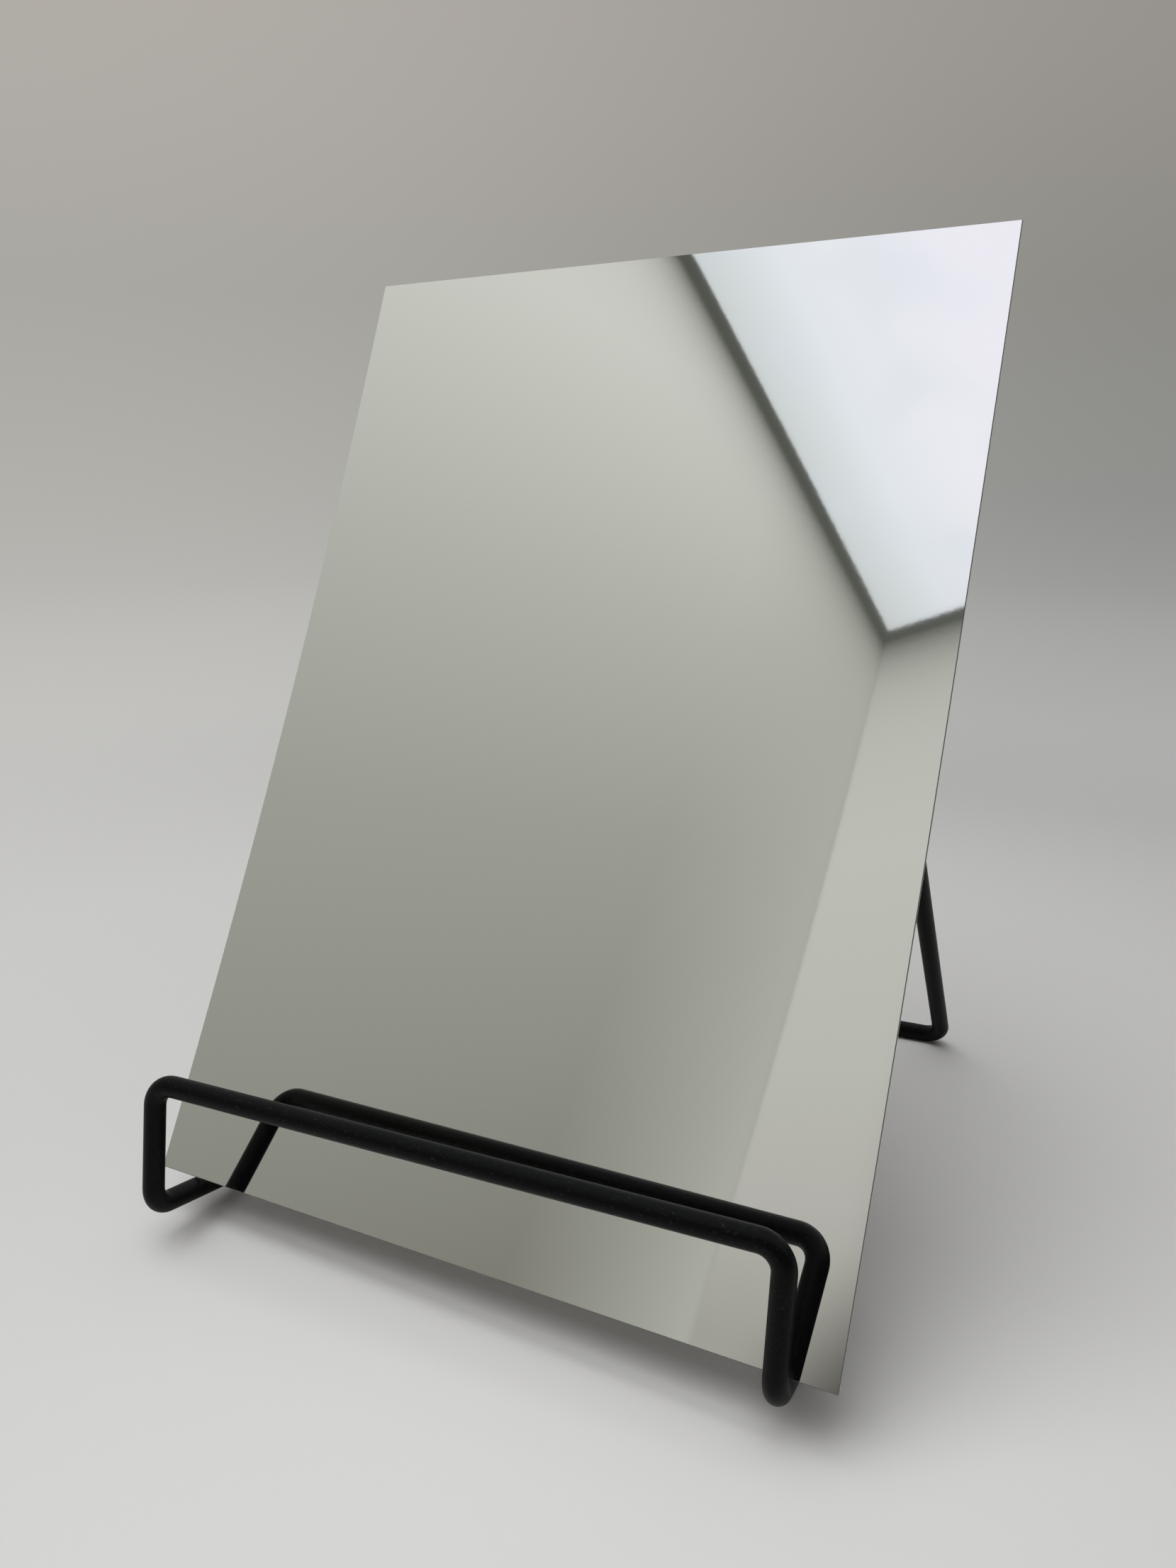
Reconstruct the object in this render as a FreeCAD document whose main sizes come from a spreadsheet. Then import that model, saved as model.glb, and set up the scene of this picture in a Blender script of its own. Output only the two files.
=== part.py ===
"""Countertop mirror: a thin bowed mirror sheet standing in a folding wire easel.

Millimetres. +Z is up and +Y runs from the viewer to the back of the easel. The origin lies on the
table, in the middle plane of the easel, right under the two bends that the front frame stands on.
"""
import FreeCAD, Part
import math
import os

import Sketcher

# Driving dimensions: lengths in millimetres, angles in degrees.
SIZES = {
    # Steel wire with its powder coat, and the inside of its tight bends.
    "wire_diameter": 4.3,
    "bend_inside_radius": 2.5,
    # Front frame, measured between wire centre lines from corner to corner.
    "lip_width": 128.4,
    "lip_height": 26.2,
    "lip_lean": 8.6,
    "seat_depth": 37.0,
    "seat_slope": 12.9,
    "rail_length": 129.3,
    "rail_lean": 18.6,
    "eye_wrap": 240.0,
    # Rear leg and its hinge in the eyes of the front frame.
    "open_angle": 51.1,
    "floor_bar_width": 135.2,
    "hinge_gap": 0.08,
    "shoulder_gap": 0.8,
    "stub_overhang": 2.0,
    # Cross wire welded behind the eyes, which the opened leg comes to rest on.
    "stop_bar_length": 137.0,
    "stop_gap": 0.15,
    "weld_sink": 0.25,
    # Mirror sheet and the backing sheet glued to it.
    "sheet_width": 148.0,
    "sheet_height": 210.0,
    "mirror_thickness": 0.3,
    "backing_thickness": 0.2,
    "sheet_bow": 2.85,
    # Where the sheet stands on the seat wires, measured back from the corner of the lip.
    "setback_left": 12.4,
    "setback_right": 3.4,
    "rest_gap": 0.2,
}

# The same derived sizes, written for the formulas of the document.
WIRE_RADIUS = "(Sizes.wire_diameter / 2)"
BEND_RADIUS = "(Sizes.wire_diameter / 2 + Sizes.bend_inside_radius)"
EYE_RADIUS = "(Sizes.wire_diameter + Sizes.hinge_gap)"
LEG_LEAN = "(Sizes.open_angle - Sizes.rail_lean)"
STOP_AWAY = "(2 * Sizes.wire_diameter + Sizes.hinge_gap - Sizes.weld_sink)"
STOP_TURN = "(%s * 1 deg - 90 deg + asin((Sizes.wire_diameter + Sizes.stop_gap) / %s))" % (LEG_LEAN, STOP_AWAY)
BOW_RADIUS = "(Sizes.sheet_height ^ 2 / 4 + Sizes.sheet_bow ^ 2) / (2 * Sizes.sheet_bow)"
SHEET_FRONT = " - (Sizes.mirror_thickness + Sizes.backing_thickness) / 2"
SHEET_MIDDLE = " + (Sizes.mirror_thickness - Sizes.backing_thickness) / 2"
SHEET_BACK = " + (Sizes.mirror_thickness + Sizes.backing_thickness) / 2"

doc = FreeCAD.newDocument("countertop_mirror")
vector = FreeCAD.Vector


def make_size_sheet():
    """The spreadsheet that every sub-part takes its sizes from."""
    sheet = doc.addObject("Spreadsheet::Sheet", "Sizes")
    for row, (alias, value) in enumerate(SIZES.items(), start=1):
        sheet.set("A%d" % row, alias)
        sheet.set("B%d" % row, str(value))
        sheet.setAlias("B%d" % row, alias)
    doc.recompute()
    return sheet


def direction(degrees):
    """Unit vector in the side view: first coordinate to the back, second up."""
    turn = math.radians(degrees)
    return vector(math.cos(turn), math.sin(turn), 0)


sizes = make_size_sheet()
wire_radius = sizes.wire_diameter / 2
bend_radius = wire_radius + sizes.bend_inside_radius
eye_radius = sizes.wire_diameter + sizes.hinge_gap
leg_lean = sizes.open_angle - sizes.rail_lean
sheet_thickness = sizes.mirror_thickness + sizes.backing_thickness
bow_radius = (sizes.sheet_height ** 2 / 4 + sizes.sheet_bow ** 2) / (2 * sizes.sheet_bow)

# Corners of the front frame in the side view, where its straight runs would meet.
seat_run = direction(-sizes.seat_slope)
rail_run = direction(90 - sizes.rail_lean)
upright_run = direction(90 - sizes.lip_lean)
foot_bisector = (rail_run - seat_run).normalize()
foot_half_angle = rail_run.getAngle(seat_run * -1) / 2
foot_centre = vector(0, wire_radius + bend_radius, 0)
foot_corner = foot_centre - foot_bisector * (bend_radius / math.sin(foot_half_angle))
lip_corner = foot_corner - seat_run * sizes.seat_depth
upright_middle = lip_corner + upright_run * (sizes.lip_height / 2)
rail_end = foot_corner + rail_run * sizes.rail_length
hinge = rail_end + direction(-sizes.rail_lean) * eye_radius
leg_drop = (hinge.y - wire_radius) / math.cos(math.radians(leg_lean))


def new_body(name):
    """An empty body, named and labelled as the sub-part that it becomes."""
    body = doc.addObject("PartDesign::Body", name)
    body.Label = name
    return body


def origin_plane(body, role):
    """One of the body's own origin planes."""
    return next(part for part in body.Origin.OriginFeatures if part.Role == role)


def new_sketch(body, name, role):
    """A sketch on an origin plane of its own body."""
    sketch = body.newObject("Sketcher::SketchObject", name)
    sketch.AttachmentSupport = [(origin_plane(body, role), "")]
    sketch.MapMode = "FlatFace"
    return sketch


def bind(sketch, constraint, formula):
    """Adds a dimension to a sketch and ties it to the spreadsheet."""
    index = sketch.addConstraint(constraint)
    sketch.setExpression("Constraints[%d]" % index, formula)


def measure(sketch, constraint, name):
    """Adds a measuring dimension that other objects can read by its name."""
    index = sketch.addConstraint(constraint)
    sketch.setDriving(index, False)
    sketch.renameConstraint(index, name)


def end_on_middle(sketch, line):
    """Starts a guide line on the middle plane of the easel."""
    sketch.addConstraint(Sketcher.Constraint("PointOnObject", line, 1, -2))


def draw_runs(sketch, guides, corners, bends):
    """The straight runs of a bent wire, each along its guide line and ending where a bend begins."""
    last = len(guides) - 1
    runs = []
    for number, (start, end) in enumerate(zip(corners, corners[1:])):
        if number > 0:
            start = start + bends[number - 1]["after"] * bends[number - 1]["trim"]
        if number < last:
            end = end + bends[number]["before"] * bends[number]["trim"]
        run = sketch.addGeometry(Part.LineSegment(start, end))
        runs.append(run)
        if number == 0:
            sketch.addConstraint(Sketcher.Constraint("Coincident", run, 1, guides[0], 1))
        else:
            sketch.addConstraint(Sketcher.Constraint("PointOnObject", run, 1, guides[number]))
        if number == last:
            sketch.addConstraint(Sketcher.Constraint("Coincident", run, 2, guides[last], 2))
        else:
            sketch.addConstraint(Sketcher.Constraint("PointOnObject", run, 2, guides[number]))
    return runs


def draw_bend(sketch, corner, bend, run_before, run_after):
    """The arc of one bend, tangent to the runs on both sides of its corner."""
    before, after = bend["before"], bend["after"]
    centre = corner + (before + after).normalize() * (bend_radius / math.sin(bend["half_angle"]))
    starts = [corner + before * bend["trim"] - centre, corner + after * bend["trim"] - centre]
    ends = [1, 2]
    if before.cross(after).z > 0:
        # A sketch keeps its arcs anticlockwise, so a right-hand bend starts at its far end.
        starts.reverse()
        ends.reverse()
    angles = [math.atan2(spoke.y, spoke.x) for spoke in starts]
    if angles[1] < angles[0]:
        angles[1] += 2 * math.pi
    circle = Part.Circle(centre, vector(0, 0, 1), bend_radius)
    arc = sketch.addGeometry(Part.ArcOfCircle(circle, *angles))
    sketch.addConstraint(Sketcher.Constraint("Tangent", run_before, 2, arc, ends[0]))
    sketch.addConstraint(Sketcher.Constraint("Tangent", arc, ends[1], run_after, 1))
    bind(sketch, Sketcher.Constraint("Radius", arc, bend_radius), BEND_RADIUS)
    return arc


def bent_spine(sketch, corners):
    """Centre line of a bent wire: straight runs along guide lines, joined by tangent arcs.

    Returns the guide lines from corner to corner, the runs and the arcs, as geometry numbers.
    """
    guides = [sketch.addGeometry(Part.LineSegment(*ends), True) for ends in zip(corners, corners[1:])]
    for first, second in zip(guides, guides[1:]):
        sketch.addConstraint(Sketcher.Constraint("Coincident", first, 2, second, 1))
    bends = []
    for before, corner, after in zip(corners, corners[1:], corners[2:]):
        bend = {"before": (before - corner).normalize(), "after": (after - corner).normalize()}
        bend["half_angle"] = bend["before"].getAngle(bend["after"]) / 2
        bend["trim"] = bend_radius / math.tan(bend["half_angle"])
        bends.append(bend)
    runs = draw_runs(sketch, guides, corners, bends)
    arcs = [draw_bend(sketch, *parts) for parts in zip(corners[1:], bends, runs, runs[1:])]
    return guides, runs, arcs


def wire_section(body, name, spine):
    """Round section of the wire at the start of a centre line, square to it."""
    sketch = body.newObject("Sketcher::SketchObject", name)
    sketch.AttachmentSupport = [(spine, "Edge1")]
    sketch.MapMode = "NormalToEdge"
    sketch.MapPathParameter = 0
    circle = sketch.addGeometry(Part.Circle(vector(0, 0, 0), vector(0, 0, 1), wire_radius))
    sketch.addConstraint(Sketcher.Constraint("Coincident", circle, 3, -1, 1))
    bind(sketch, Sketcher.Constraint("Diameter", circle, sizes.wire_diameter), "Sizes.wire_diameter")
    return sketch


def pipe(body, name, profile, spine):
    """The wire's section carried along a centre line."""
    feature = body.newObject("PartDesign::AdditivePipe", name)
    feature.Profile = profile
    feature.Spine = (spine, ["Edge%d" % (number + 1) for number in range(len(spine.Shape.Edges))])
    feature.Refine = True
    return feature


def mirrored(body, name, features):
    """The left half of a wire, copied from its right half."""
    copy = body.newObject("PartDesign::Mirrored", name)
    copy.Originals = features
    copy.MirrorPlane = (origin_plane(body, "YZ_Plane"), [""])
    copy.Refine = True
    body.Tip = copy


def draw_side_spine(sketch):
    """Right side of the front frame: half an upright, the seat wire, the rail and the eye at its end."""
    guides, runs, arcs = bent_spine(sketch, [upright_middle, lip_corner, foot_corner, rail_end])
    upright, seat, rail = guides
    foot_bend = arcs[1]
    sketch.addConstraint(Sketcher.Constraint("PointOnObject", foot_bend, 3, -2))
    bind(sketch, Sketcher.Constraint("DistanceY", -1, 1, foot_bend, 3, foot_centre.y),
         WIRE_RADIUS + " + " + BEND_RADIUS)
    bind(sketch, Sketcher.Constraint("Distance", upright, sizes.lip_height / 2), "Sizes.lip_height / 2")
    bind(sketch, Sketcher.Constraint("Distance", seat, sizes.seat_depth), "Sizes.seat_depth")
    bind(sketch, Sketcher.Constraint("Distance", rail, sizes.rail_length), "Sizes.rail_length")
    bind(sketch, Sketcher.Constraint("Angle", upright, math.radians(-90 - sizes.lip_lean)),
         "-90 - Sizes.lip_lean")
    bind(sketch, Sketcher.Constraint("Angle", seat, math.radians(-sizes.seat_slope)), "-Sizes.seat_slope")
    bind(sketch, Sketcher.Constraint("Angle", rail, math.radians(90 - sizes.rail_lean)),
         "90 - Sizes.rail_lean")

    # The eye turns clockwise from the end of the rail, round the back and under the hinge.
    turn_start = math.radians(180 - sizes.rail_lean)
    eye_turn = math.radians(sizes.eye_wrap)
    eye_circle = Part.Circle(hinge, vector(0, 0, 1), eye_radius)
    eye = sketch.addGeometry(Part.ArcOfCircle(eye_circle, turn_start - eye_turn, turn_start))
    sketch.addConstraint(Sketcher.Constraint("Tangent", runs[-1], 2, eye, 2))
    bind(sketch, Sketcher.Constraint("Radius", eye, eye_radius), EYE_RADIUS)
    bind(sketch, Sketcher.Constraint("Angle", eye, eye_turn), "Sizes.eye_wrap")

    measure(sketch, Sketcher.Constraint("DistanceX", -1, 1, eye, 3, hinge.x), "hinge_back")
    measure(sketch, Sketcher.Constraint("DistanceY", -1, 1, eye, 3, hinge.y), "hinge_height")
    measure(sketch, Sketcher.Constraint("DistanceX", seat, 1, -1, 1, -lip_corner.x), "lip_forward")
    measure(sketch, Sketcher.Constraint("DistanceY", -1, 1, seat, 1, lip_corner.y), "lip_up")


def draw_lip_spine(sketch):
    """Right half of the lip: half of its rail and the upper half of the upright."""
    half_width = sizes.lip_width / 2
    corners = [vector(0, sizes.lip_height, 0), vector(half_width, sizes.lip_height, 0),
               vector(half_width, sizes.lip_height / 2, 0)]
    guides = bent_spine(sketch, corners)[0]
    rail, upright = guides
    end_on_middle(sketch, rail)
    sketch.addConstraint(Sketcher.Constraint("Horizontal", rail))
    sketch.addConstraint(Sketcher.Constraint("Vertical", upright))
    bind(sketch, Sketcher.Constraint("DistanceY", -1, 1, rail, 1, sizes.lip_height), "Sizes.lip_height")
    bind(sketch, Sketcher.Constraint("Distance", rail, half_width), "Sizes.lip_width / 2")
    bind(sketch, Sketcher.Constraint("Distance", upright, sizes.lip_height / 2), "Sizes.lip_height / 2")


def make_front_frame():
    """One wire from eye to eye: rail, foot bend, seat wire, upright, lip rail and back again."""
    body = new_body("front_frame")
    side = new_sketch(body, "side_spine", "YZ_Plane")
    side.setExpression("AttachmentOffset.Base.z", "Sizes.lip_width / 2")
    draw_side_spine(side)

    # The lip's plane leans forward about the line through the two lip corners.
    lip = new_sketch(body, "lip_spine", "XZ_Plane")
    lip.setExpression("AttachmentOffset.Base.y", "side_spine.Constraints.lip_up")
    lip.setExpression("AttachmentOffset.Base.z", "side_spine.Constraints.lip_forward")
    lip.setExpression("AttachmentOffset.Rotation.Angle", "Sizes.lip_lean")
    lip.setExpression("AttachmentOffset.Rotation.Axis.x", "-1")
    lip.setExpression("AttachmentOffset.Rotation.Axis.z", "0")
    draw_lip_spine(lip)

    doc.recompute()
    lip_section = wire_section(body, "lip_section", lip)
    side_section = wire_section(body, "side_section", side)
    doc.recompute()
    halves = [pipe(body, "lip_half", lip_section, lip), pipe(body, "side_half", side_section, side)]
    doc.recompute()
    mirrored(body, "other_half", halves)
    return body


def make_rear_leg():
    """One wire: floor bar, two legs spread like an A, and a stub that turns in each eye."""
    body = new_body("rear_leg")
    spine = new_sketch(body, "leg_spine", "XZ_Plane")
    bar_half = sizes.floor_bar_width / 2
    leg_top = sizes.lip_width / 2 - sizes.wire_diameter - sizes.shoulder_gap
    stub_end = sizes.lip_width / 2 + wire_radius + sizes.stub_overhang
    corners = [vector(0, -leg_drop, 0), vector(bar_half, -leg_drop, 0), vector(leg_top, 0, 0),
               vector(stub_end, 0, 0)]
    guides = bent_spine(spine, corners)[0]
    bar, leg, stub = guides
    end_on_middle(spine, bar)
    spine.addConstraint(Sketcher.Constraint("Horizontal", bar))
    spine.addConstraint(Sketcher.Constraint("PointOnObject", stub, 1, -1))
    spine.addConstraint(Sketcher.Constraint("Horizontal", stub))
    bind(spine, Sketcher.Constraint("Distance", bar, bar_half), "Sizes.floor_bar_width / 2")
    bind(spine, Sketcher.Constraint("DistanceX", -1, 1, leg, 2, leg_top),
         "Sizes.lip_width / 2 - Sizes.wire_diameter - Sizes.shoulder_gap")
    bind(spine, Sketcher.Constraint("DistanceX", -1, 1, stub, 2, stub_end),
         "Sizes.lip_width / 2 + Sizes.wire_diameter / 2 + Sizes.stub_overhang")
    bind(spine, Sketcher.Constraint("DistanceY", bar, 1, -1, 1, leg_drop),
         "(side_spine.Constraints.hinge_height - %s * 1 mm) / cos(%s * 1 deg)" % (WIRE_RADIUS, LEG_LEAN))
    doc.recompute()
    section = wire_section(body, "leg_section", spine)
    doc.recompute()
    half = pipe(body, "leg_half", section, spine)
    doc.recompute()
    mirrored(body, "other_leg", [half])

    # The leg swings about the stubs, so its own origin is the hinge.
    opened = FreeCAD.Rotation(vector(1, 0, 0), leg_lean)
    body.Placement = FreeCAD.Placement(vector(0, hinge.x, hinge.y), opened)
    body.setExpression("Placement.Base.y", "side_spine.Constraints.hinge_back")
    body.setExpression("Placement.Base.z", "side_spine.Constraints.hinge_height")
    body.setExpression("Placement.Rotation.Angle", LEG_LEAN)
    return body


def make_stop_bar(frame):
    """Straight cross wire let into the backs of both eyes, just behind the opened leg."""
    wire = doc.addObject("Part::Cylinder", "stop_wire")
    wire.setExpression("Radius", WIRE_RADIUS)
    wire.setExpression("Height", "Sizes.stop_bar_length")
    wire.Placement = FreeCAD.Placement(vector(0, 0, 0), FreeCAD.Rotation(vector(0, 1, 0), 90))
    wire.setExpression("Placement.Base.x", "-Sizes.stop_bar_length / 2")
    wire.setExpression("Placement.Base.y",
                       "side_spine.Constraints.hinge_back + %s * 1 mm * cos(%s)" % (STOP_AWAY, STOP_TURN))
    wire.setExpression("Placement.Base.z",
                       "side_spine.Constraints.hinge_height + %s * 1 mm * sin(%s)" % (STOP_AWAY, STOP_TURN))
    bar = doc.addObject("Part::Cut", "stop_bar")
    bar.Label = "stop_bar"
    bar.Base = wire
    bar.Tool = frame
    return bar


def standing_point(side, setback):
    """Where the lower edge of the sheet's middle surface stands over one seat wire.

    Close to the lip the wire already rises into its bend, and the sheet's front edge rises with it.
    """
    lip_half_angle = upright_run.getAngle(seat_run) / 2
    bend_start = bend_radius / math.tan(lip_half_angle)
    into_bend = max(0.0, bend_start - setback + sheet_thickness / 2)
    rise = sizes.bend_inside_radius - math.sqrt(sizes.bend_inside_radius ** 2 - into_bend ** 2)
    lift = wire_radius + rise + sizes.rest_gap
    over_wire = lip_corner + seat_run * setback + direction(90 - sizes.seat_slope) * lift
    return vector(side * sizes.lip_width / 2, over_wire.x, over_wire.y)


def sheet_placement():
    """Stands the sheet's lower edge on both seat wires and leans its back on the nearer eye."""
    left = standing_point(-1, sizes.setback_left)
    right = standing_point(1, sizes.setback_right)
    along = (right - left).normalize()
    back = vector(0, 0, 1).cross(along).normalize()
    up = along.cross(back)
    middle = (left + right) / 2

    # The eye on the side that stands further back meets the sheet first.
    side = -1 if sizes.setback_left >= sizes.setback_right else 1
    to_eye = vector(side * sizes.lip_width / 2, hinge.x, hinge.y) - middle
    eye_back = to_eye.dot(back)
    eye_up = to_eye.dot(up)
    eye_distance = math.hypot(eye_back, eye_up)

    # Triangle of the standing line, the eye and the centre of the bow, which lies in front.
    to_eye_centre = bow_radius + sheet_thickness / 2 + sizes.rest_gap + eye_radius + wire_radius
    cosine = (eye_distance ** 2 + bow_radius ** 2 - to_eye_centre ** 2) / (2 * eye_distance * bow_radius)
    to_bow_centre = math.atan2(eye_up, eye_back) + math.acos(cosine)
    to_upper_edge = to_bow_centre - math.acos(sizes.sheet_height / 2 / bow_radius)
    chord = back * math.cos(to_upper_edge) + up * math.sin(to_upper_edge)
    behind = along.cross(chord) * -1
    return FreeCAD.Placement(middle, FreeCAD.Rotation(along, behind, chord, "XYZ"))


def make_sheet_layer(name, faces, placement):
    """One bowed layer of the sheet, between two distances behind the sheet's middle surface."""
    body = new_body(name)
    sketch = new_sketch(body, name + "_section", "YZ_Plane")
    rise = sizes.sheet_height / 2
    centre = vector(sizes.sheet_bow - bow_radius, rise, 0)
    arcs = []
    for offset, formula in faces:
        radius = bow_radius + offset
        reach = math.asin(rise / radius)
        circle = Part.Circle(centre, vector(0, 0, 1), radius)
        arc = sketch.addGeometry(Part.ArcOfCircle(circle, -reach, reach))
        bind(sketch, Sketcher.Constraint("Radius", arc, radius), BOW_RADIUS + formula)
        arcs.append(arc)
    edges = []
    for end in (1, 2):
        corners = [sketch.getPoint(arc, end) for arc in arcs]
        edge = sketch.addGeometry(Part.LineSegment(*corners))
        sketch.addConstraint(Sketcher.Constraint("Coincident", edge, 1, arcs[0], end))
        sketch.addConstraint(Sketcher.Constraint("Coincident", edge, 2, arcs[1], end))
        sketch.addConstraint(Sketcher.Constraint("Horizontal", edge))
        edges.append(edge)
    bottom, top = edges
    sketch.addConstraint(Sketcher.Constraint("Coincident", arcs[0], 3, arcs[1], 3))
    sketch.addConstraint(Sketcher.Constraint("PointOnObject", bottom, 1, -1))
    bind(sketch, Sketcher.Constraint("DistanceY", bottom, 1, top, 1, sizes.sheet_height),
         "Sizes.sheet_height")
    bind(sketch, Sketcher.Constraint("DistanceX", arcs[0], 3, -1, 1, -centre.x),
         BOW_RADIUS + " - Sizes.sheet_bow")
    pad = body.newObject("PartDesign::Pad", name + "_pad")
    pad.Profile = sketch
    pad.SideType = "Symmetric"
    pad.setExpression("Length", "Sizes.sheet_width")
    body.Tip = pad
    body.Placement = placement
    return body


front_frame = make_front_frame()
rear_leg = make_rear_leg()
stop_bar = make_stop_bar(front_frame)

placement = sheet_placement()
glue_depth = (sizes.mirror_thickness - sizes.backing_thickness) / 2
front_face = (-sheet_thickness / 2, SHEET_FRONT)
glued_face = (glue_depth, SHEET_MIDDLE)
back_face = (sheet_thickness / 2, SHEET_BACK)
mirror_sheet = make_sheet_layer("mirror_sheet", (front_face, glued_face), placement)
backing_sheet = make_sheet_layer("backing_sheet", (glued_face, back_face), placement)
doc.recompute()

for item in doc.Objects:
    if "Invalid" in item.State or "Error" in item.State:
        raise RuntimeError("%s could not be built" % item.Label)

subparts = (front_frame, rear_leg, stop_bar, mirror_sheet, backing_sheet)
for part in subparts:
    if part.Shape.isNull() or not part.Shape.isValid() or not part.Shape.Solids:
        raise RuntimeError("%s has no sound solid" % part.Label)

os.makedirs("parts", exist_ok=True)
for part in subparts:
    part.Shape.exportStep("parts/%s.step" % part.Label)
    print(part.Label, "solids:", len(part.Shape.Solids), "volume:", round(part.Shape.Volume, 1))
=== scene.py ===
"""Countertop mirror in a folding wire easel: finishes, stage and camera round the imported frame.

Metres. +Z is up, +Y runs from the viewer to the back of the easel, and the table is at z = 0.
"""

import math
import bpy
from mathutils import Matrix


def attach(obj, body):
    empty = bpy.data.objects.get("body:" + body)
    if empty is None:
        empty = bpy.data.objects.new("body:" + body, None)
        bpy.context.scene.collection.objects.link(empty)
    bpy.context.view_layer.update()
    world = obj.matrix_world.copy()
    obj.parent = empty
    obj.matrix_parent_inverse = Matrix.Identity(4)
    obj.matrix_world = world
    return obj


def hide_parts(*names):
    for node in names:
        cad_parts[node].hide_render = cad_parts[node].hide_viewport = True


bl_info = {
    "name": "Countertop mirror",
    "version": (1, 0, 0),
    "blender": (4, 5, 0),
    "location": "3D View > Sidebar > Countertop mirror",
    "description": "Finishes and stage for a mirror sheet in a folding wire easel",
    "category": "Object",
}

import bmesh
import bpy
from mathutils import Vector

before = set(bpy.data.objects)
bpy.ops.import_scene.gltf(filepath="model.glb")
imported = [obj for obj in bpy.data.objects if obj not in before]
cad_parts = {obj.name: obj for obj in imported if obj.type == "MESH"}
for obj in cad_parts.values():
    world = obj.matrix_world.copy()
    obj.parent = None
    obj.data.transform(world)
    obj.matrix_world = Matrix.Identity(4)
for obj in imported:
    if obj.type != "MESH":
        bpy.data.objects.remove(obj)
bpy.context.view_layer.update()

MM = 0.001
JOINT_SHADE = "#4E504A"


def linear(hex_colour):
    """A colour written as sRGB hex, as the linear RGBA that shaders take."""
    channels = [int(hex_colour[i:i + 2], 16) / 255 for i in (1, 3, 5)]
    return [c / 12.92 if c <= 0.04045 else ((c + 0.055) / 1.055) ** 2.4 for c in channels] + [1.0]


def add_node(tree, kind, settings=None, inputs=None):
    """Adds a node: settings are its own properties, inputs are numbers or sockets to link from."""
    node = tree.nodes.new(kind)
    for name, value in (settings or {}).items():
        setattr(node, name, value)
    for name, value in (inputs or {}).items():
        if isinstance(value, bpy.types.NodeSocket):
            tree.links.new(value, node.inputs[name])
        else:
            node.inputs[name].default_value = value
    return node


def new_material(name):
    """An empty node material and its output node."""
    material = bpy.data.materials.new(name)
    material.use_nodes = True
    material.node_tree.nodes.clear()
    return material, add_node(material.node_tree, "ShaderNodeOutputMaterial")


def calculate(tree, operation, first, second=0.0):
    """One sum on two numbers or sockets."""
    node = add_node(tree, "ShaderNodeMath", {"operation": operation}, {0: first, 1: second})
    return node.outputs["Value"]


def ramp(tree, value, stops, start=0.0):
    """Colour that follows a length: each stop is a distance in metres past the start, and a hex colour."""
    reach = stops[-1][0]
    share = calculate(tree, "DIVIDE", calculate(tree, "SUBTRACT", value, start), reach)
    node = add_node(tree, "ShaderNodeValToRGB", inputs={"Fac": share})
    elements = node.color_ramp.elements
    for number, (distance, colour) in enumerate(stops):
        place = distance / reach
        element = elements[number] if number < 2 else elements.new(place)
        element.position = place
        element.color = linear(colour)
    return node.outputs["Color"]


def blend(tree, factor, first, second):
    """Mixes two colours."""
    node = add_node(tree, "ShaderNodeMix", {"data_type": "RGBA"}, {"Factor": factor})
    for socket, colour in ((node.inputs[6], first), (node.inputs[7], second)):
        if isinstance(colour, bpy.types.NodeSocket):
            tree.links.new(colour, socket)
        else:
            socket.default_value = colour
    return node.outputs[2]


class WireCoat(bpy.types.PropertyGroup):
    """Black powder coat on the bent steel wire."""

    colour: bpy.props.StringProperty(name="Colour", description="Coat colour, sRGB hex", default="#060707")
    roughness: bpy.props.FloatProperty(
        name="Roughness", description="Satin gloss of the cured powder", default=0.42, min=0, max=1,
        subtype="FACTOR")
    dust: bpy.props.StringProperty(name="Dust", description="Dust colour, sRGB hex", default="#202322")
    dust_grain: bpy.props.FloatProperty(
        name="Dust grain", description="Spacing of the dust specks", default=0.5 * MM, unit="LENGTH")
    orange_peel: bpy.props.FloatProperty(
        name="Orange peel", description="Spacing of the dimples that the melted powder keeps",
        default=0.9 * MM, unit="LENGTH")
    peel_depth: bpy.props.FloatProperty(
        name="Peel depth", description="Depth of those dimples", default=0.05 * MM, unit="LENGTH")


class MirrorFilm(bpy.types.PropertyGroup):
    """Bright face of the mirror sheet."""

    silver: bpy.props.StringProperty(name="Silver", description="Reflected tint, sRGB hex", default="#F4F4F2")
    roughness: bpy.props.FloatProperty(
        name="Roughness", description="Haze of the polished face", default=0.028, min=0, max=1,
        subtype="FACTOR")
    ripple: bpy.props.FloatProperty(
        name="Ripple", description="Spacing of the faint ripple in the silvered face", default=1.1 * MM,
        unit="LENGTH")
    ripple_depth: bpy.props.FloatProperty(
        name="Ripple depth", description="Depth of that ripple", default=0.0003 * MM, unit="LENGTH")
    shear_marks: bpy.props.FloatProperty(
        name="Shear marks", description="Spacing of the marks that cutting leaves along the edge",
        default=0.4 * MM, unit="LENGTH")
    chamfer: bpy.props.FloatProperty(
        name="Chamfer", description="Rub-down along the cut edges", default=0.12 * MM, unit="LENGTH")
    edge: bpy.props.StringProperty(name="Cut edge", description="Edge colour, sRGB hex", default="#6E706C")


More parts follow.
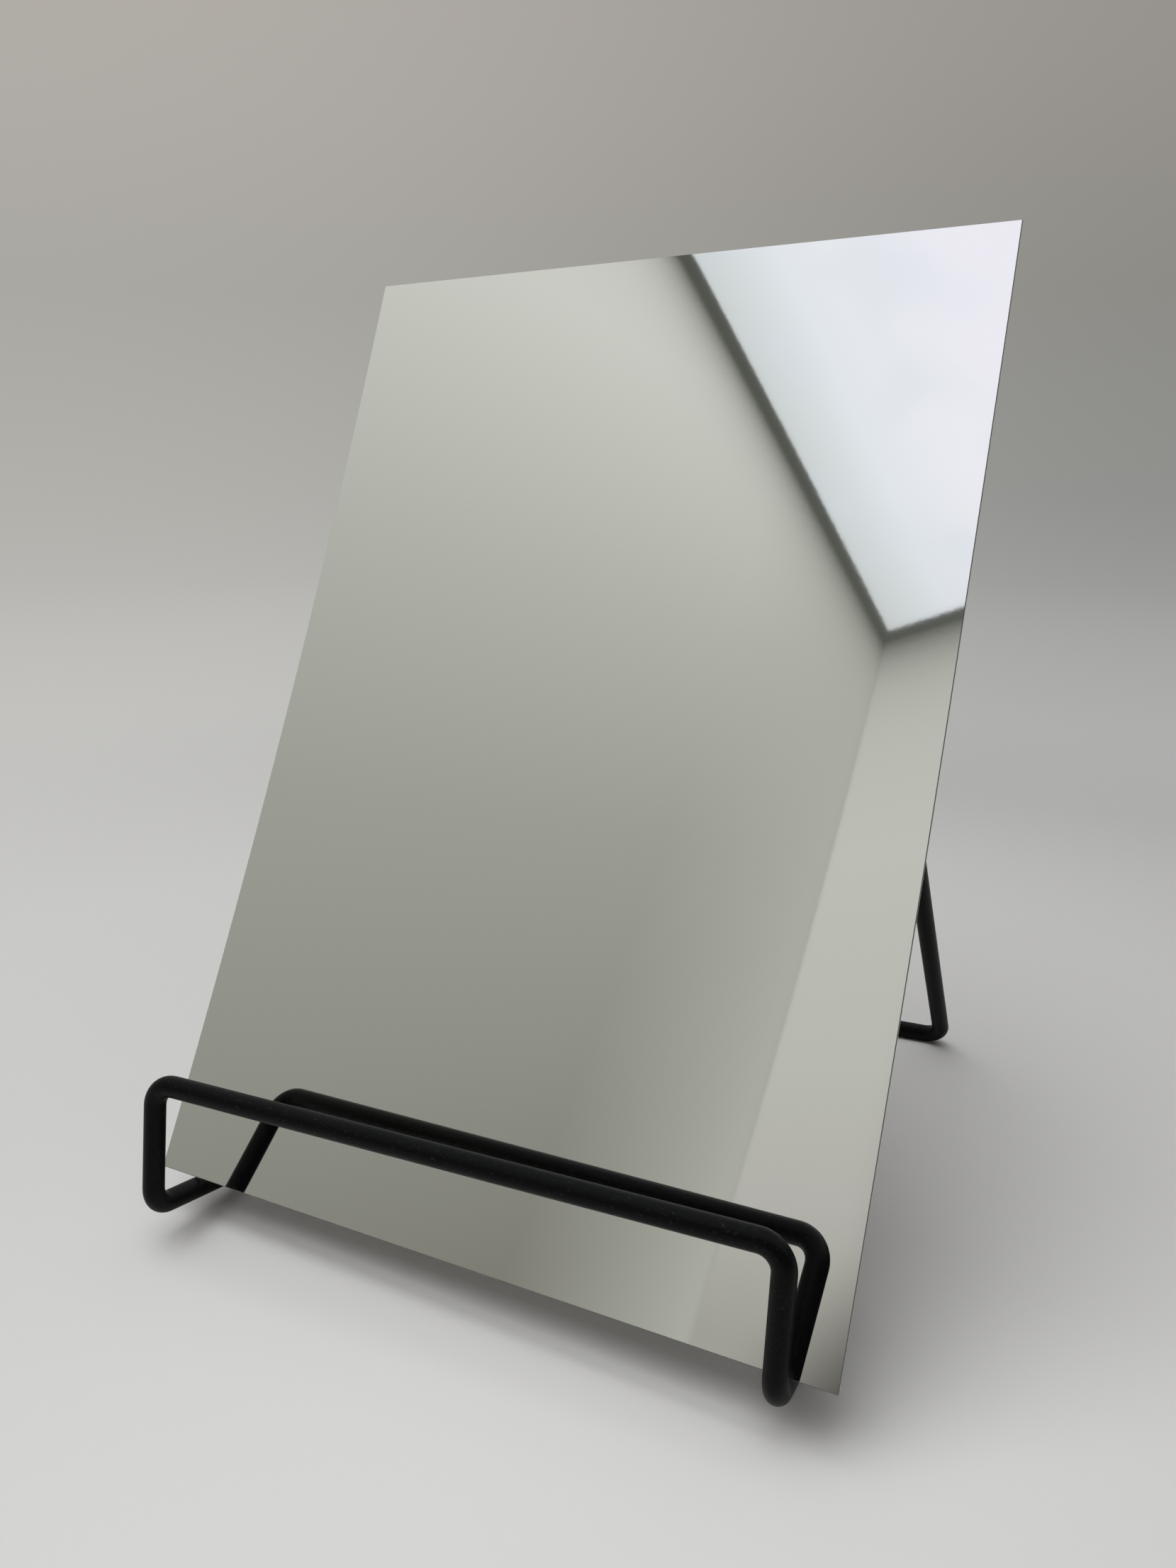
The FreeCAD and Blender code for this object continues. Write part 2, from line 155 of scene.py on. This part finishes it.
class BackingCoat(bpy.types.PropertyGroup):
    """Matte pale grey back of the mirror sheet."""

    colour: bpy.props.StringProperty(name="Colour", description="Coat colour, sRGB hex", default="#D2D2D0")
    thin: bpy.props.StringProperty(
        name="Thin colour", description="Colour where the coat lies thinner, sRGB hex", default="#C9C9C7")
    clouds: bpy.props.FloatProperty(
        name="Clouds", description="Size of the cloudy patches", default=14 * MM, unit="LENGTH")
    grain: bpy.props.FloatProperty(
        name="Grain", description="Spacing of the roller grain", default=0.8 * MM, unit="LENGTH")
    grain_depth: bpy.props.FloatProperty(
        name="Grain depth", description="Depth of that grain", default=0.05 * MM, unit="LENGTH")
    roughness: bpy.props.FloatProperty(
        name="Roughness", description="Matte lacquer", default=0.6, min=0, max=1, subtype="FACTOR")


class Stage(bpy.types.PropertyGroup):
    """Floor, cove, soft light and the pale room that the mirror shows."""

    ambient: bpy.props.FloatProperty(name="Ambient", description="Strength of the sky", default=0.86)
    lamp_power: bpy.props.FloatProperty(
        name="Lamp", description="Power of the soft lamp", default=12.5, unit="POWER")
    lamp_place: bpy.props.FloatVectorProperty(
        name="Lamp place", description="Where the soft lamp hangs", default=(-0.30, -0.32, 1.25),
        unit="LENGTH")
    lamp_size: bpy.props.FloatProperty(
        name="Lamp size", description="Width of the soft lamp", default=1.4, unit="LENGTH")
    camera_place: bpy.props.FloatVectorProperty(
        name="Camera", description="Where the photograph was taken from",
        default=(0.1035, -0.1936, 0.1548), unit="LENGTH")
    camera_yaw: bpy.props.FloatProperty(
        name="Yaw", description="Camera's turn to the left of +Y", default=math.radians(24.08),
        unit="ROTATION")
    camera_pitch: bpy.props.FloatProperty(
        name="Pitch", description="Camera's tilt below the horizon", default=math.radians(14.84),
        unit="ROTATION")
    lens: bpy.props.FloatProperty(name="Lens", description="Focal length on a 36 mm sensor", default=27.93)
    room_corner: bpy.props.FloatVectorProperty(
        name="Room corner", description="Where the reflected room's ceiling meets two of its walls",
        default=(-0.2985, -0.7653, 0.9458), unit="LENGTH")
    room_turn: bpy.props.FloatVectorProperty(
        name="Room turn", description="How the reflected room is turned", subtype="EULER",
        default=(math.radians(-6.4), math.radians(1.0), math.radians(11.8)))
    room_size: bpy.props.FloatVectorProperty(
        name="Room size", description="Width, length and height of the reflected room",
        default=(1.9, 2.4, 1.3), unit="LENGTH")
    front_wall_turn: bpy.props.FloatProperty(
        name="Front wall turn", description="How far the room's front wall is out of square",
        default=math.radians(8.0), unit="ROTATION")


def assign(node, material):
    """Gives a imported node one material."""
    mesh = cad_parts[node].data
    mesh.materials.clear()
    mesh.materials.append(material)


def powder_coat(coat):
    """Black powder coat, sprayed and baked: satin, with a faint orange peel and fine dust specks.

    The specks are drawn coarser than real dust, so that they show.
    """
    material, output = new_material("black_powder_coat_satin")
    tree = material.node_tree
    place = add_node(tree, "ShaderNodeTexCoord")
    peel = add_node(tree, "ShaderNodeTexNoise", inputs={
        "Vector": place.outputs["Object"], "Scale": 1 / coat.orange_peel, "Detail": 3.0})
    bump = add_node(tree, "ShaderNodeBump", inputs={
        "Height": peel.outputs["Fac"], "Strength": 0.4, "Distance": coat.peel_depth})
    dust = add_node(tree, "ShaderNodeTexNoise", inputs={
        "Vector": place.outputs["Object"], "Scale": 1 / coat.dust_grain, "Detail": 2.0})
    specks = add_node(tree, "ShaderNodeMapRange", inputs={
        "Value": dust.outputs["Fac"], "From Min": 0.62, "From Max": 0.75})
    shader = add_node(tree, "ShaderNodeBsdfPrincipled", inputs={
        "Base Color": blend(tree, specks.outputs["Result"], linear(coat.colour), linear(coat.dust)),
        "Roughness": coat.roughness, "IOR": 1.5, "Specular IOR Level": 0.1,
        "Normal": bump.outputs["Normal"]})
    tree.links.new(shader.outputs["BSDF"], output.inputs["Surface"])
    return material


def mirror_silver(film):
    """Silvered and polished sheet: near-neutral reflection whose straight lines look slightly nibbled."""
    material, output = new_material("silvered_mirror_polished")
    tree = material.node_tree
    place = add_node(tree, "ShaderNodeTexCoord")
    ripple = add_node(tree, "ShaderNodeTexNoise", inputs={
        "Vector": place.outputs["Object"], "Scale": 1 / film.ripple, "Detail": 1.0})
    bump = add_node(tree, "ShaderNodeBump", inputs={
        "Height": ripple.outputs["Fac"], "Strength": 1.0, "Distance": film.ripple_depth})
    shader = add_node(tree, "ShaderNodeBsdfPrincipled", inputs={
        "Base Color": linear(film.silver), "Metallic": 1.0, "Roughness": film.roughness,
        "Normal": bump.outputs["Normal"]})
    tree.links.new(shader.outputs["BSDF"], output.inputs["Surface"])
    return material


def cut_edge(film):
    """Sheared edge of the sheet: grey and matt with fine shear marks, a thin line round the reflection."""
    material, output = new_material("mirror_sheet_edge_sheared")
    tree = material.node_tree
    place = add_node(tree, "ShaderNodeTexCoord")
    marks = add_node(tree, "ShaderNodeTexNoise", inputs={
        "Vector": place.outputs["Object"], "Scale": 1 / film.shear_marks, "Detail": 4.0})
    metal = linear(film.edge)
    nick_shade = 0.6
    nicked = [nick_shade * channel for channel in metal[:3]] + [1.0]
    shader = add_node(tree, "ShaderNodeBsdfPrincipled", inputs={
        "Base Color": blend(tree, marks.outputs["Fac"], nicked, metal), "Roughness": 0.5})
    tree.links.new(shader.outputs["BSDF"], output.inputs["Surface"])
    return material


def backing_lacquer(coat):
    """Matte lacquer rolled over the back of the silver: dull, with cloudy patches and a fine roller grain."""
    material, output = new_material("grey_backing_lacquer_rolled")
    tree = material.node_tree
    place = add_node(tree, "ShaderNodeTexCoord")
    clouds = add_node(tree, "ShaderNodeTexNoise", inputs={
        "Vector": place.outputs["Object"], "Scale": 1 / coat.clouds, "Detail": 3.0})
    grain = add_node(tree, "ShaderNodeTexNoise", inputs={
        "Vector": place.outputs["Object"], "Scale": 1 / coat.grain, "Detail": 2.0})
    bump = add_node(tree, "ShaderNodeBump", inputs={
        "Height": grain.outputs["Fac"], "Strength": 0.25, "Distance": coat.grain_depth})
    shader = add_node(tree, "ShaderNodeBsdfPrincipled", inputs={
        "Base Color": blend(tree, clouds.outputs["Fac"], linear(coat.thin), linear(coat.colour)),
        "Roughness": coat.roughness, "IOR": 1.5, "Normal": bump.outputs["Normal"]})
    tree.links.new(shader.outputs["BSDF"], output.inputs["Surface"])
    return material


class MIRROR_OT_wires(bpy.types.Operator):
    """Coats the front frame, the rear leg and the stop bar"""

    bl_idname = "countertop_mirror.wires"
    bl_label = "Coat the wires"

    def execute(self, context):
        material = powder_coat(context.scene.mirror_wire_coat)
        for node in ("front_frame", "rear_leg", "stop_bar"):
            assign(node, material)
        return {"FINISHED"}


def long_edges(node):
    """Left and right edge of the front face of the bowed sheet, as bottom, middle and top points."""
    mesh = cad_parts[node].data
    steepest = -0.8
    facing = [face for face in mesh.polygons if face.normal.y < steepest]
    corners = {tuple(round(c, 7) for c in mesh.vertices[i].co) for face in facing for i in face.vertices}
    edges = []
    for side in (-1, 1):
        edge = sorted((Vector(c) for c in corners if c[0] * side > 0), key=lambda point: point.z)
        edges.append((edge[0], edge[len(edge) // 2], edge[-1]))
    return edges


def on_arc(edge, share):
    """Point of a shallow arc through three points, at a share of its chord."""
    bottom, middle, top = edge
    chord = top - bottom
    half = chord.length / 2
    across = (middle - bottom).dot(chord.normalized())
    away = middle - bottom - chord.normalized() * across
    # The middle point lies near, not at, half of the chord, so the circle is found from where it is.
    radius = (across * (2 * half - across) + away.length ** 2) / (2 * away.length)
    sagitta = radius - math.sqrt(radius ** 2 - half ** 2)
    along = share * 2 * half
    height = math.sqrt(radius ** 2 - (along - half) ** 2) - (radius - sagitta)
    return bottom + chord.normalized() * along + away.normalized() * height


def sheet_thickness(back):
    """Thickness of the mirror sheet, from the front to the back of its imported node."""
    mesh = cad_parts["mirror_sheet"].data
    lowest = min(mesh.vertices, key=lambda vertex: vertex.co.z).co
    corner = [vertex.co for vertex in mesh.vertices if (vertex.co - lowest).length < 1 * MM]
    depths = [point.dot(back) for point in corner]
    return max(depths) - min(depths)


def make_sheet(film):
    """The mirror sheet again, with a fine bow and rubbed-down edges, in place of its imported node."""
    left, right = long_edges("mirror_sheet")
    width = (right[0] - left[0]).length
    height = (left[2] - left[0]).length
    up = (left[2] - left[0]).normalized()
    back = (right[0] - left[0]).cross(up).normalized() * -1
    thickness = sheet_thickness(back)
    rows, columns = 96, 12
    rim = film.chamfer
    silver, edge = 0, 1

    def spread(length, count):
        inner = [rim + (length - 2 * rim) * step / count for step in range(count + 1)]
        return [0.0] + inner + [length]

    across = spread(width, columns)
    upward = spread(height, rows)
    mesh = bmesh.new()
    layers = []
    for depth in (0.0, thickness):
        layer = []
        for v in upward:
            ends = on_arc(left, v / height), on_arc(right, v / height)
            row = []
            for u in across:
                at_rim = u in (across[0], across[-1]) or v in (upward[0], upward[-1])
                inset = rim if at_rim and depth == 0.0 else depth
                row.append(mesh.verts.new(ends[0].lerp(ends[1], u / width) + back * inset))
            layer.append(row)
        layers.append(layer)
    front, rear = layers
    last_row, last_column = len(upward) - 1, len(across) - 1
    for r in range(last_row):
        for c in range(last_column):
            at_rim = c in (0, last_column - 1) or r in (0, last_row - 1)
            face = mesh.faces.new((front[r][c], front[r][c + 1], front[r + 1][c + 1], front[r + 1][c]))
            face.material_index = edge if at_rim else silver
            face = mesh.faces.new((rear[r][c], rear[r + 1][c], rear[r + 1][c + 1], rear[r][c + 1]))
            face.material_index = edge
    for r in range(last_row):
        for c, order in ((0, 1), (last_column, -1)):
            corners = (front[r][c], front[r + 1][c], rear[r + 1][c], rear[r][c])
            mesh.faces.new(corners[::order]).material_index = edge
    for c in range(last_column):
        for r, order in ((0, -1), (last_row, 1)):
            corners = (front[r][c], front[r][c + 1], rear[r][c + 1], rear[r][c])
            mesh.faces.new(corners[::order]).material_index = edge
    bmesh.ops.recalc_face_normals(mesh, faces=mesh.faces)
    data = bpy.data.meshes.new("silvered_sheet")
    mesh.to_mesh(data)
    mesh.free()
    data.polygons.foreach_set("use_smooth", [True] * len(data.polygons))
    sharp_from = math.radians(20)
    data.set_sharp_from_angle(angle=sharp_from)
    data.materials.append(mirror_silver(film))
    data.materials.append(cut_edge(film))
    piece = bpy.data.objects.new("silvered_sheet", data)
    bpy.context.scene.collection.objects.link(piece)
    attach(piece, "mirror")
    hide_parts("mirror_sheet")


class MIRROR_OT_sheet(bpy.types.Operator):
    """Silvers the mirror sheet and lacquers its back"""

    bl_idname = "countertop_mirror.sheet"
    bl_label = "Finish the mirror sheet"

    def execute(self, context):
        make_sheet(context.scene.mirror_film)
        assign("backing_sheet", backing_lacquer(context.scene.mirror_backing))
        return {"FINISHED"}


def stage_mesh(name, vertices, faces, materials, slots=None, smooth=False):
    """A mesh of the stage, which isn't part of the object."""
    mesh = bpy.data.meshes.new(name)
    mesh.from_pydata(vertices, [], faces)
    for material in materials:
        mesh.materials.append(material)
    mesh.polygons.foreach_set("use_smooth", [smooth] * len(mesh.polygons))
    mesh.polygons.foreach_set("material_index", slots or [0] * len(mesh.polygons))
    piece = bpy.data.objects.new(name, mesh)
    bpy.context.scene.collection.objects.link(piece)
    return piece


def cove_material():
    """Matte paper cove: its painted tones, pale on the floor and greyer up the backdrop and towards the
    right, stand for the studio's light falloff and shade.
    """
    material, output = new_material("matte_paper_cove")
    tree = material.node_tree
    place = add_node(tree, "ShaderNodeTexCoord")
    axes = add_node(tree, "ShaderNodeSeparateXYZ", inputs={"Vector": place.outputs["Object"]})
    x, y, z = (axes.outputs[axis] for axis in "XYZ")
    squares = calculate(tree, "ADD", calculate(tree, "MULTIPLY", x, x), calculate(tree, "MULTIPLY", y, y))
    reach = calculate(tree, "SQRT", squares)
    along = calculate(tree, "ADD", reach, z)
    # Painted light falloff and shade: the left and right ramps darken the paper up the backdrop and towards
    # the right, where the light dims.
    left = ramp(tree, along, (
        (0.1, "#C9C9C8"), (0.25, "#CBCBCA"), (0.65, "#C3C2BF"), (1.9, "#B2B1AC"), (2.55, "#AAA8A3"),
        (3.1, "#B2ADA7")))
    right = ramp(tree, along, (
        (0.1, "#D5D5D4"), (0.25, "#C8C8C7"), (0.4, "#B8B8B7"), (0.65, "#ADADAB"), (1.9, "#90908E"),
        (2.55, "#8C8B86"), (3.1, "#97928E")))
    # The added length keeps the tone from swinging round right under the object.
    calm = 0.15
    turn = calculate(tree, "DIVIDE", x, calculate(tree, "ADD", reach, calm))
    side = add_node(tree, "ShaderNodeMapRange", {"interpolation_type": "SMOOTHSTEP"}, {
        "Value": turn, "From Min": -0.75, "From Max": 0.15})
    painted_falloff_tone = blend(tree, side.outputs["Result"], left, right)
    # Past the object's shadow the paper glows, so that the backdrop keeps its tone whatever lights it.
    far = add_node(tree, "ShaderNodeMapRange", {"interpolation_type": "SMOOTHSTEP"}, {
        "Value": along, "From Min": 0.28, "From Max": 0.65})
    path = add_node(tree, "ShaderNodeLightPath")
    seen = calculate(tree, "MAXIMUM", path.outputs["Is Camera Ray"], path.outputs["Is Glossy Ray"])
    paper = add_node(tree, "ShaderNodeBsdfDiffuse", inputs={"Color": painted_falloff_tone})
    backdrop = add_node(tree, "ShaderNodeEmission", inputs={"Color": painted_falloff_tone})
    mixed = add_node(tree, "ShaderNodeMixShader", inputs={
        0: calculate(tree, "MULTIPLY", seen, far.outputs["Result"]),
        1: paper.outputs["BSDF"], 2: backdrop.outputs["Emission"]})
    tree.links.new(mixed.outputs["Shader"], output.inputs["Surface"])
    return material


def make_cove():
    """Round floor that curves up into a wall on every side, so that any view is seamless."""
    reach, bend, top, sides = 2.2, 0.8, 2.6, 96
    profile = [(0.0, 0.0), (reach - bend, 0.0)]
    steps = 16
    for step in range(1, steps + 1):
        turn = math.pi / 2 * step / steps
        profile.append((reach - bend + bend * math.sin(turn), bend - bend * math.cos(turn)))
    profile.append((reach, top))
    vertices = []
    for radius, height in profile:
        for side in range(sides):
            turn = 2 * math.pi * side / sides
            vertices.append((radius * math.cos(turn), radius * math.sin(turn), height))
    faces = []
    for ring in range(len(profile) - 1):
        for side in range(sides):
            a = ring * sides + side
            b = ring * sides + (side + 1) % sides
            faces.append((a, b, b + sides, a + sides))
    stage_mesh("cove", vertices, faces, [cove_material()], smooth=True)


def glow(material, output, colour):
    """Lets a wall glow in the mirror and the gloss of the wires, but light nothing."""
    tree = material.node_tree
    path = add_node(tree, "ShaderNodeLightPath")
    direct = calculate(tree, "LESS_THAN", path.outputs["Diffuse Depth"], 0.5)
    mirror_loss = 1.12
    shine = add_node(tree, "ShaderNodeEmission", inputs={"Color": colour, "Strength": mirror_loss})
    clear = add_node(tree, "ShaderNodeBsdfTransparent")
    mixed = add_node(tree, "ShaderNodeMixShader", inputs={
        0: direct, 1: clear.outputs["BSDF"], 2: shine.outputs["Emission"]})
    tree.links.new(mixed.outputs["Shader"], output.inputs["Surface"])


def room_axes(tree):
    """Distances in the room from its corner: to the right, to the back and down."""
    place = add_node(tree, "ShaderNodeTexCoord")
    axes = add_node(tree, "ShaderNodeSeparateXYZ", inputs={"Vector": place.outputs["Object"]})
    return axes.outputs["X"], axes.outputs["Y"], calculate(tree, "MULTIPLY", axes.outputs["Z"], -1.0)


def under_ceiling(tree, down, wall, gap, fade):
    """Dark gap between wall and ceiling, and the shade under it. Gap and fade are lengths down the wall."""
    below = calculate(tree, "MAXIMUM", calculate(tree, "SUBTRACT", down, gap), 0.0)
    shade = calculate(tree, "EXPONENT", calculate(tree, "DIVIDE", below, -fade))
    return blend(tree, shade, wall, linear(JOINT_SHADE))


def left_wall():
    """Painted wall on the left: bright at the top and back, with light from the front wall in the corner."""
    material, output = new_material("painted_wall_left")
    tree = material.node_tree
    _, back, down = room_axes(tree)
    slope, corner_light, crack, crack_shade = 0.58, 0.25, 0.004, 0.2
    depth = calculate(tree, "SUBTRACT", down, calculate(tree, "MULTIPLY", back, slope))
    paint = ramp(tree, depth, (
        (0.0, "#C8C9C3"), (0.21, "#AEB0A9"), (0.39, "#9A9B93"), (0.56, "#8D8E86"), (0.72, "#7B7B73")),
        start=-0.15)
    away = calculate(tree, "SUBTRACT", 1.0, calculate(tree, "DIVIDE", back, corner_light))
    lit = blend(tree, calculate(tree, "MAXIMUM", away, 0.0), paint, linear("#A9AAA2"))
    crevice = calculate(tree, "EXPONENT", calculate(tree, "DIVIDE", back, -crack))
    lit = blend(tree, calculate(tree, "MULTIPLY", crevice, crack_shade), lit, linear(JOINT_SHADE))
    glow(material, output, under_ceiling(tree, down, lit, gap=0.017, fade=0.023))
    return material


def front_wall():
    """Painted wall in front: even, a little darker towards its foot, and dark towards the right."""
    material, output = new_material("painted_wall_front")
    tree = material.node_tree
    right, _, down = room_axes(tree)
    paint = ramp(tree, down, (
        (0.1, "#B7B8B1"), (0.25, "#BBBCB5"), (0.44, "#B6B7B0"), (0.55, "#B0AFAA"), (0.65, "#9E9D96")))
    dusk_widens_below = 0.58
    low = calculate(tree, "MAXIMUM", calculate(tree, "SUBTRACT", down, dusk_widens_below), 0.0)
    dusk = add_node(tree, "ShaderNodeMapRange", {"interpolation_type": "SMOOTHSTEP"}, {
        "Value": calculate(tree, "ADD", right, low), "From Min": 0.11, "From Max": 0.32})
    paint = blend(tree, dusk.outputs["Result"], paint, linear("#1C1C1B"))
    glow(material, output, under_ceiling(tree, down, paint, gap=0.012, fade=0.034))
    return material


def ceiling():
    """White ceiling lit like an overcast sky with soft clouds, dimmer where it meets the walls."""
    material, output = new_material("painted_ceiling")
    tree = material.node_tree
    right, back, _ = room_axes(tree)
    paint = ramp(tree, right, (
        (0.0, "#CACFD0"), (0.025, "#D1D6D9"), (0.075, "#DFE4EB"), (0.15, "#E8E9F0"), (0.20, "#EAE9F3")))
    near = add_node(tree, "ShaderNodeMapRange", inputs={
        "Value": back, "From Min": 0.0, "From Max": 0.16, "To Min": 0.1, "To Max": 0.0})
    dimmed = blend(tree, near.outputs["Result"], paint, linear("#909490"))
    cloud_size = 0.111
    place = add_node(tree, "ShaderNodeTexCoord")
    clouds = add_node(tree, "ShaderNodeTexNoise", inputs={
        "Vector": place.outputs["Object"], "Scale": 1 / cloud_size, "Detail": 1.0})
    bank = add_node(tree, "ShaderNodeMapRange", {"interpolation_type": "SMOOTHSTEP"}, {
        "Value": clouds.outputs["Fac"], "From Min": 0.45, "From Max": 0.7, "To Max": 0.35})
    glow(material, output, blend(tree, bank.outputs["Result"], dimmed, linear("#D2DCE6")))
    return material


def make_room(stage):
    """The pale room that only the mirror and the gloss of the wires see."""
    wide, long, tall = stage.room_size
    skew = wide * math.tan(stage.front_wall_turn)
    plan = (0, 0), (wide, skew), (0, long), (wide, long)
    vertices = [(x, y, z) for z in (0, -tall) for x, y in plan]
    faces = [(0, 2, 6, 4), (0, 1, 5, 4), (0, 1, 3, 2), (1, 3, 7, 5), (2, 3, 7, 6)]
    piece = stage_mesh("room", vertices, faces, [left_wall(), front_wall(), ceiling()], [0, 1, 2, 1, 1])
    piece.location = stage.room_corner
    piece.rotation_euler = stage.room_turn
    for kind in ("camera", "diffuse", "transmission", "volume_scatter", "shadow"):
        setattr(piece, "visible_" + kind, False)


class MIRROR_OT_stage(bpy.types.Operator):
    """Sets the floor, the soft light, the reflected room and the photograph's camera"""

    bl_idname = "countertop_mirror.stage"
    bl_label = "Set the stage"

    def execute(self, context):
        stage = context.scene.mirror_stage
        make_cove()
        make_room(stage)
        world = bpy.data.worlds.new("soft_sky")
        context.scene.world = world
        world.use_nodes = True
        sky = world.node_tree.nodes["Background"]
        sky.inputs["Color"].default_value = linear("#FFFFFF")
        sky.inputs["Strength"].default_value = stage.ambient
        lamp = bpy.data.lights.new("soft_lamp", "AREA")
        lamp.shape = "DISK"
        lamp.size = stage.lamp_size
        lamp.energy = stage.lamp_power
        holder = bpy.data.objects.new("soft_lamp", lamp)
        holder.location = stage.lamp_place
        holder.rotation_euler = holder.location.to_track_quat("Z", "Y").to_euler()
        holder.visible_glossy = False
        context.scene.collection.objects.link(holder)
        camera = bpy.data.objects.new("camera", bpy.data.cameras.new("camera"))
        camera.data.lens = stage.lens
        camera.data.sensor_width = 36.0
        camera.data.clip_start = 0.01
        camera.location = stage.camera_place
        camera.rotation_euler = (math.pi / 2 - stage.camera_pitch, 0, stage.camera_yaw)
        context.scene.collection.objects.link(camera)
        context.scene.camera = camera
        context.scene.view_settings.view_transform = "Standard"
        return {"FINISHED"}


class MIRROR_PT_panel(bpy.types.Panel):
    """Lists the steps that dress the mirror"""

    bl_idname = "MIRROR_PT_panel"
    bl_label = "Countertop mirror"
    bl_space_type = "VIEW_3D"
    bl_region_type = "UI"
    bl_category = "Countertop mirror"

    def draw(self, context):
        for operator in OPERATORS:
            self.layout.operator(operator.bl_idname)


GROUPS = {
    "mirror_wire_coat": WireCoat,
    "mirror_film": MirrorFilm,
    "mirror_backing": BackingCoat,
    "mirror_stage": Stage,
}
OPERATORS = (MIRROR_OT_wires, MIRROR_OT_sheet, MIRROR_OT_stage)


def register():
    for name, group in GROUPS.items():
        bpy.utils.register_class(group)
        setattr(bpy.types.Scene, name, bpy.props.PointerProperty(type=group))
    for part in OPERATORS + (MIRROR_PT_panel,):
        bpy.utils.register_class(part)


def unregister():
    for part in reversed(OPERATORS + (MIRROR_PT_panel,)):
        bpy.utils.unregister_class(part)
    for name, group in reversed(GROUPS.items()):
        delattr(bpy.types.Scene, name)
        bpy.utils.unregister_class(group)


def main():
    register()
    bpy.ops.countertop_mirror.wires()
    bpy.ops.countertop_mirror.sheet()
    bpy.ops.countertop_mirror.stage()
    bpy.context.view_layer.update()


if __name__ == "__main__":
    main()
